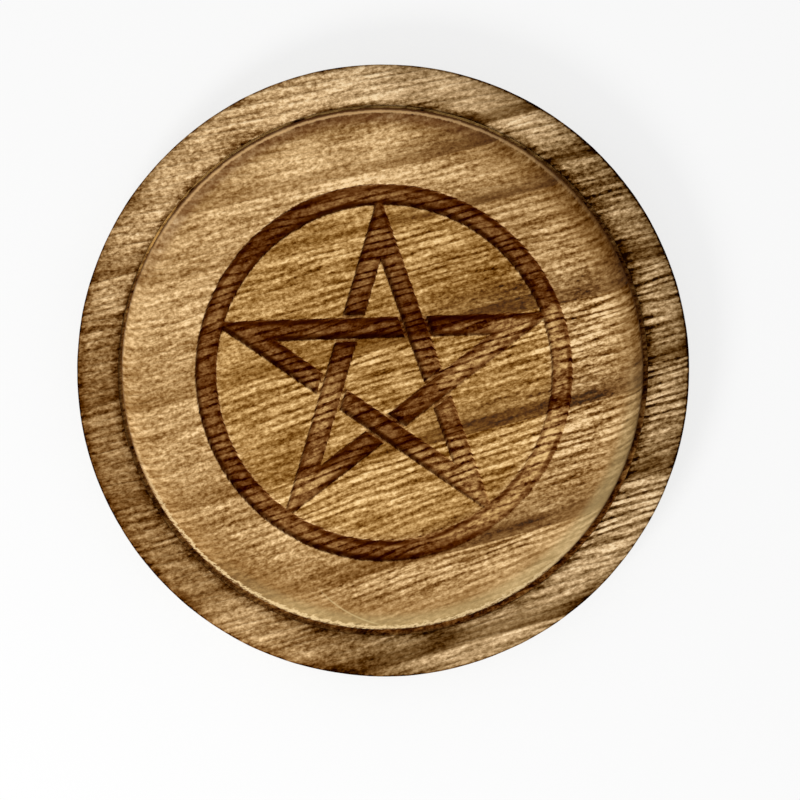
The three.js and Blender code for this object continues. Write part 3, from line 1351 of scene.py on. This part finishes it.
@dataclass
class Studio:
    """The floor, the lamps and the camera."""

    view: float = 130.2 * MM  # width of the view at the plate
    aim: Point = (2.6 * MM, -4.9 * MM)
    roll: float = math.radians(-1.7)
    distance: float = 1.0
    farthest: float = 20.0
    sensor: float = 36.0
    lamp_size: float = 0.2
    lamp_power: float = 2.0
    lamp_away: float = 0.55
    lamp_up: float = math.radians(35)
    lamp_turn: float = math.radians(232)
    room_light: float = 0.62
    floor_half: float = 6.0
    floor_drop: float = 0.1 * MM  # below the plate
    floor_tone: Colour = (0.85, 0.85, 0.85, 1.0)
    floor_glow: float = 0.75  # share of plain white in what the camera sees

    def camera(self) -> None:
        """Sets the camera straight above the plate."""
        data = bpy.data.cameras.new("camera")
        data.sensor_width = self.sensor
        data.lens = self.sensor * self.distance / self.view
        data.clip_end = self.farthest
        camera = placed("camera", data)
        camera.location = (*self.aim, cad_box[1].z + self.distance)
        camera.rotation_euler = (0.0, 0.0, self.roll)
        bpy.context.scene.camera = camera

    def lamps(self) -> None:
        """Hangs a soft key lamp to the lower left and lights the room evenly."""
        data = bpy.data.lights.new("key", "AREA")
        data.shape = "DISK"
        data.size = self.lamp_size
        data.energy = self.lamp_power
        key = placed("key", data)
        level = self.lamp_away * math.cos(self.lamp_up)
        key.location = (
            level * math.cos(self.lamp_turn),
            level * math.sin(self.lamp_turn),
            self.lamp_away * math.sin(self.lamp_up),
        )
        key.rotation_euler = (-key.location).to_track_quat("-Z", "Y").to_euler()
        world = bpy.data.worlds.new("studio")
        bpy.context.scene.world = world
        world.use_nodes = True
        net = Network(world.node_tree)
        strength = self._seen(net) * (1 - self.room_light) + self.room_light
        background = net.node("ShaderNodeBackground", {}, {"Color": WHITE, "Strength": strength})
        net.node("ShaderNodeOutputWorld", {}, {"Surface": background.outputs[0]})

    @staticmethod
    def _seen(net: Network) -> Value:
        """1 for a ray that comes from the camera, straight or by way of gloss or glass, and 0 for light."""
        path = net.node("ShaderNodeLightPath").outputs
        rays = ("Is Camera Ray", "Is Glossy Ray", "Is Transmission Ray")
        straight, gloss, glass = (Value(net, path[ray]) for ray in rays)
        return net.math("MINIMUM", straight + gloss + glass, 1.0)

    def floor(self) -> None:
        """Lays a pale floor that keeps a soft shadow."""
        mesh = bpy.data.meshes.new("floor")
        half = self.floor_half
        corners = [(-half, -half, 0.0), (half, -half, 0.0), (half, half, 0.0), (-half, half, 0.0)]
        mesh.from_pydata(corners, [], [(0, 1, 2, 3)])
        material = bpy.data.materials.new("floor_white")
        material.use_nodes = True
        net = Network(material.node_tree)
        matt = net.node("ShaderNodeBsdfDiffuse", {}, {"Color": self.floor_tone}).outputs[0]
        white = net.node("ShaderNodeEmission", {}, {"Color": WHITE, "Strength": 1.0}).outputs[0]
        blend = net.node("ShaderNodeMixShader", {}, {0: self._seen(net) * self.floor_glow, 1: matt, 2: white})
        net.node("ShaderNodeOutputMaterial", {}, {"Surface": blend.outputs[0]})
        mesh.materials.append(material)
        floor = placed("floor", mesh)
        floor.location.z = -self.floor_drop


def fix(piece: bpy.types.Object, node: str, slot: Wood, patches: tuple[Patch, ...]) -> None:
    """Sets a finished piece in the frame and reports it.

    Args:
        piece: The piece.
        node: The CAD node that it stands for.
        slot: The record's material slot; not used.
        patches: The flame's marks and the painted light and shade on it.
    """
    mark_flame_and_light(piece.data, patches)
    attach(piece, BODY)
    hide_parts(node)
    log.info("%s: %d faces, for %s", piece.name, len(piece.data.polygons), node)


def main() -> None:
    """Builds the pieces in order, then the studio."""
    logging.basicConfig(level=logging.INFO, format="%(name)s: %(message)s")
    bpy.context.scene.view_settings.view_transform = "Standard"
    golden = GoldenWood(
        slot=Wood.GOLDEN,
        tones=shades(
            (0.0, (26, 4, 0)), (0.19, (84, 43, 0)), (0.80, (235, 196, 141)), (0.90, (254, 219, 167))
        ),
        layer_lean=1.0,
    )
    scorched = ScorchedWood(
        slot=Wood.SCORCHED,
        tones=shades(
            (0.0, (20, 4, 0)), (0.17, (70, 38, 2)), (0.80, (231, 197, 150)), (0.90, (250, 221, 176))
        ),
        growth=Growth(fibre_turn=12.3, fibre_fan=0.001, fibre_bow=0.0005, streak=(9.0, 1.1)),
        layer_shift=3.3,
        layer_slant=0.012,
        pores=1.1,
        specks=0.27,
        relief=0.2,
    )
    pale = PaleWood(
        slot=Wood.PALE,
        # the board's pale greyish tones are partly bare wood and partly a painted reflection of white light
        # from below
        tones=(
            (0.20, tone(82, 76, 58)),
            (0.40, tone(140, 133, 112)),
            (0.58, tone(178, 172, 150)),
            (0.80, tone(220, 215, 196)),
        ),
        layer_lean=3.8,
    )
    turned = TurnedPiece()
    board = BaseBoard()
    fix(board.build(turned, pale.make("pale_wood")), board.node, pale.slot, RIM_PATCHES)
    rim = Rim()
    fix(rim.build(turned, scorched.make("scorched_wood")), rim.node, scorched.slot, RIM_PATCHES)
    disc = EngravedDisc()
    fix(disc.build(golden.make("golden_wood")), disc.node, golden.slot, DISC_PATCHES)
    studio = Studio()
    studio.floor()
    studio.lamps()
    studio.camera()


if __name__ == "__main__":
    main()
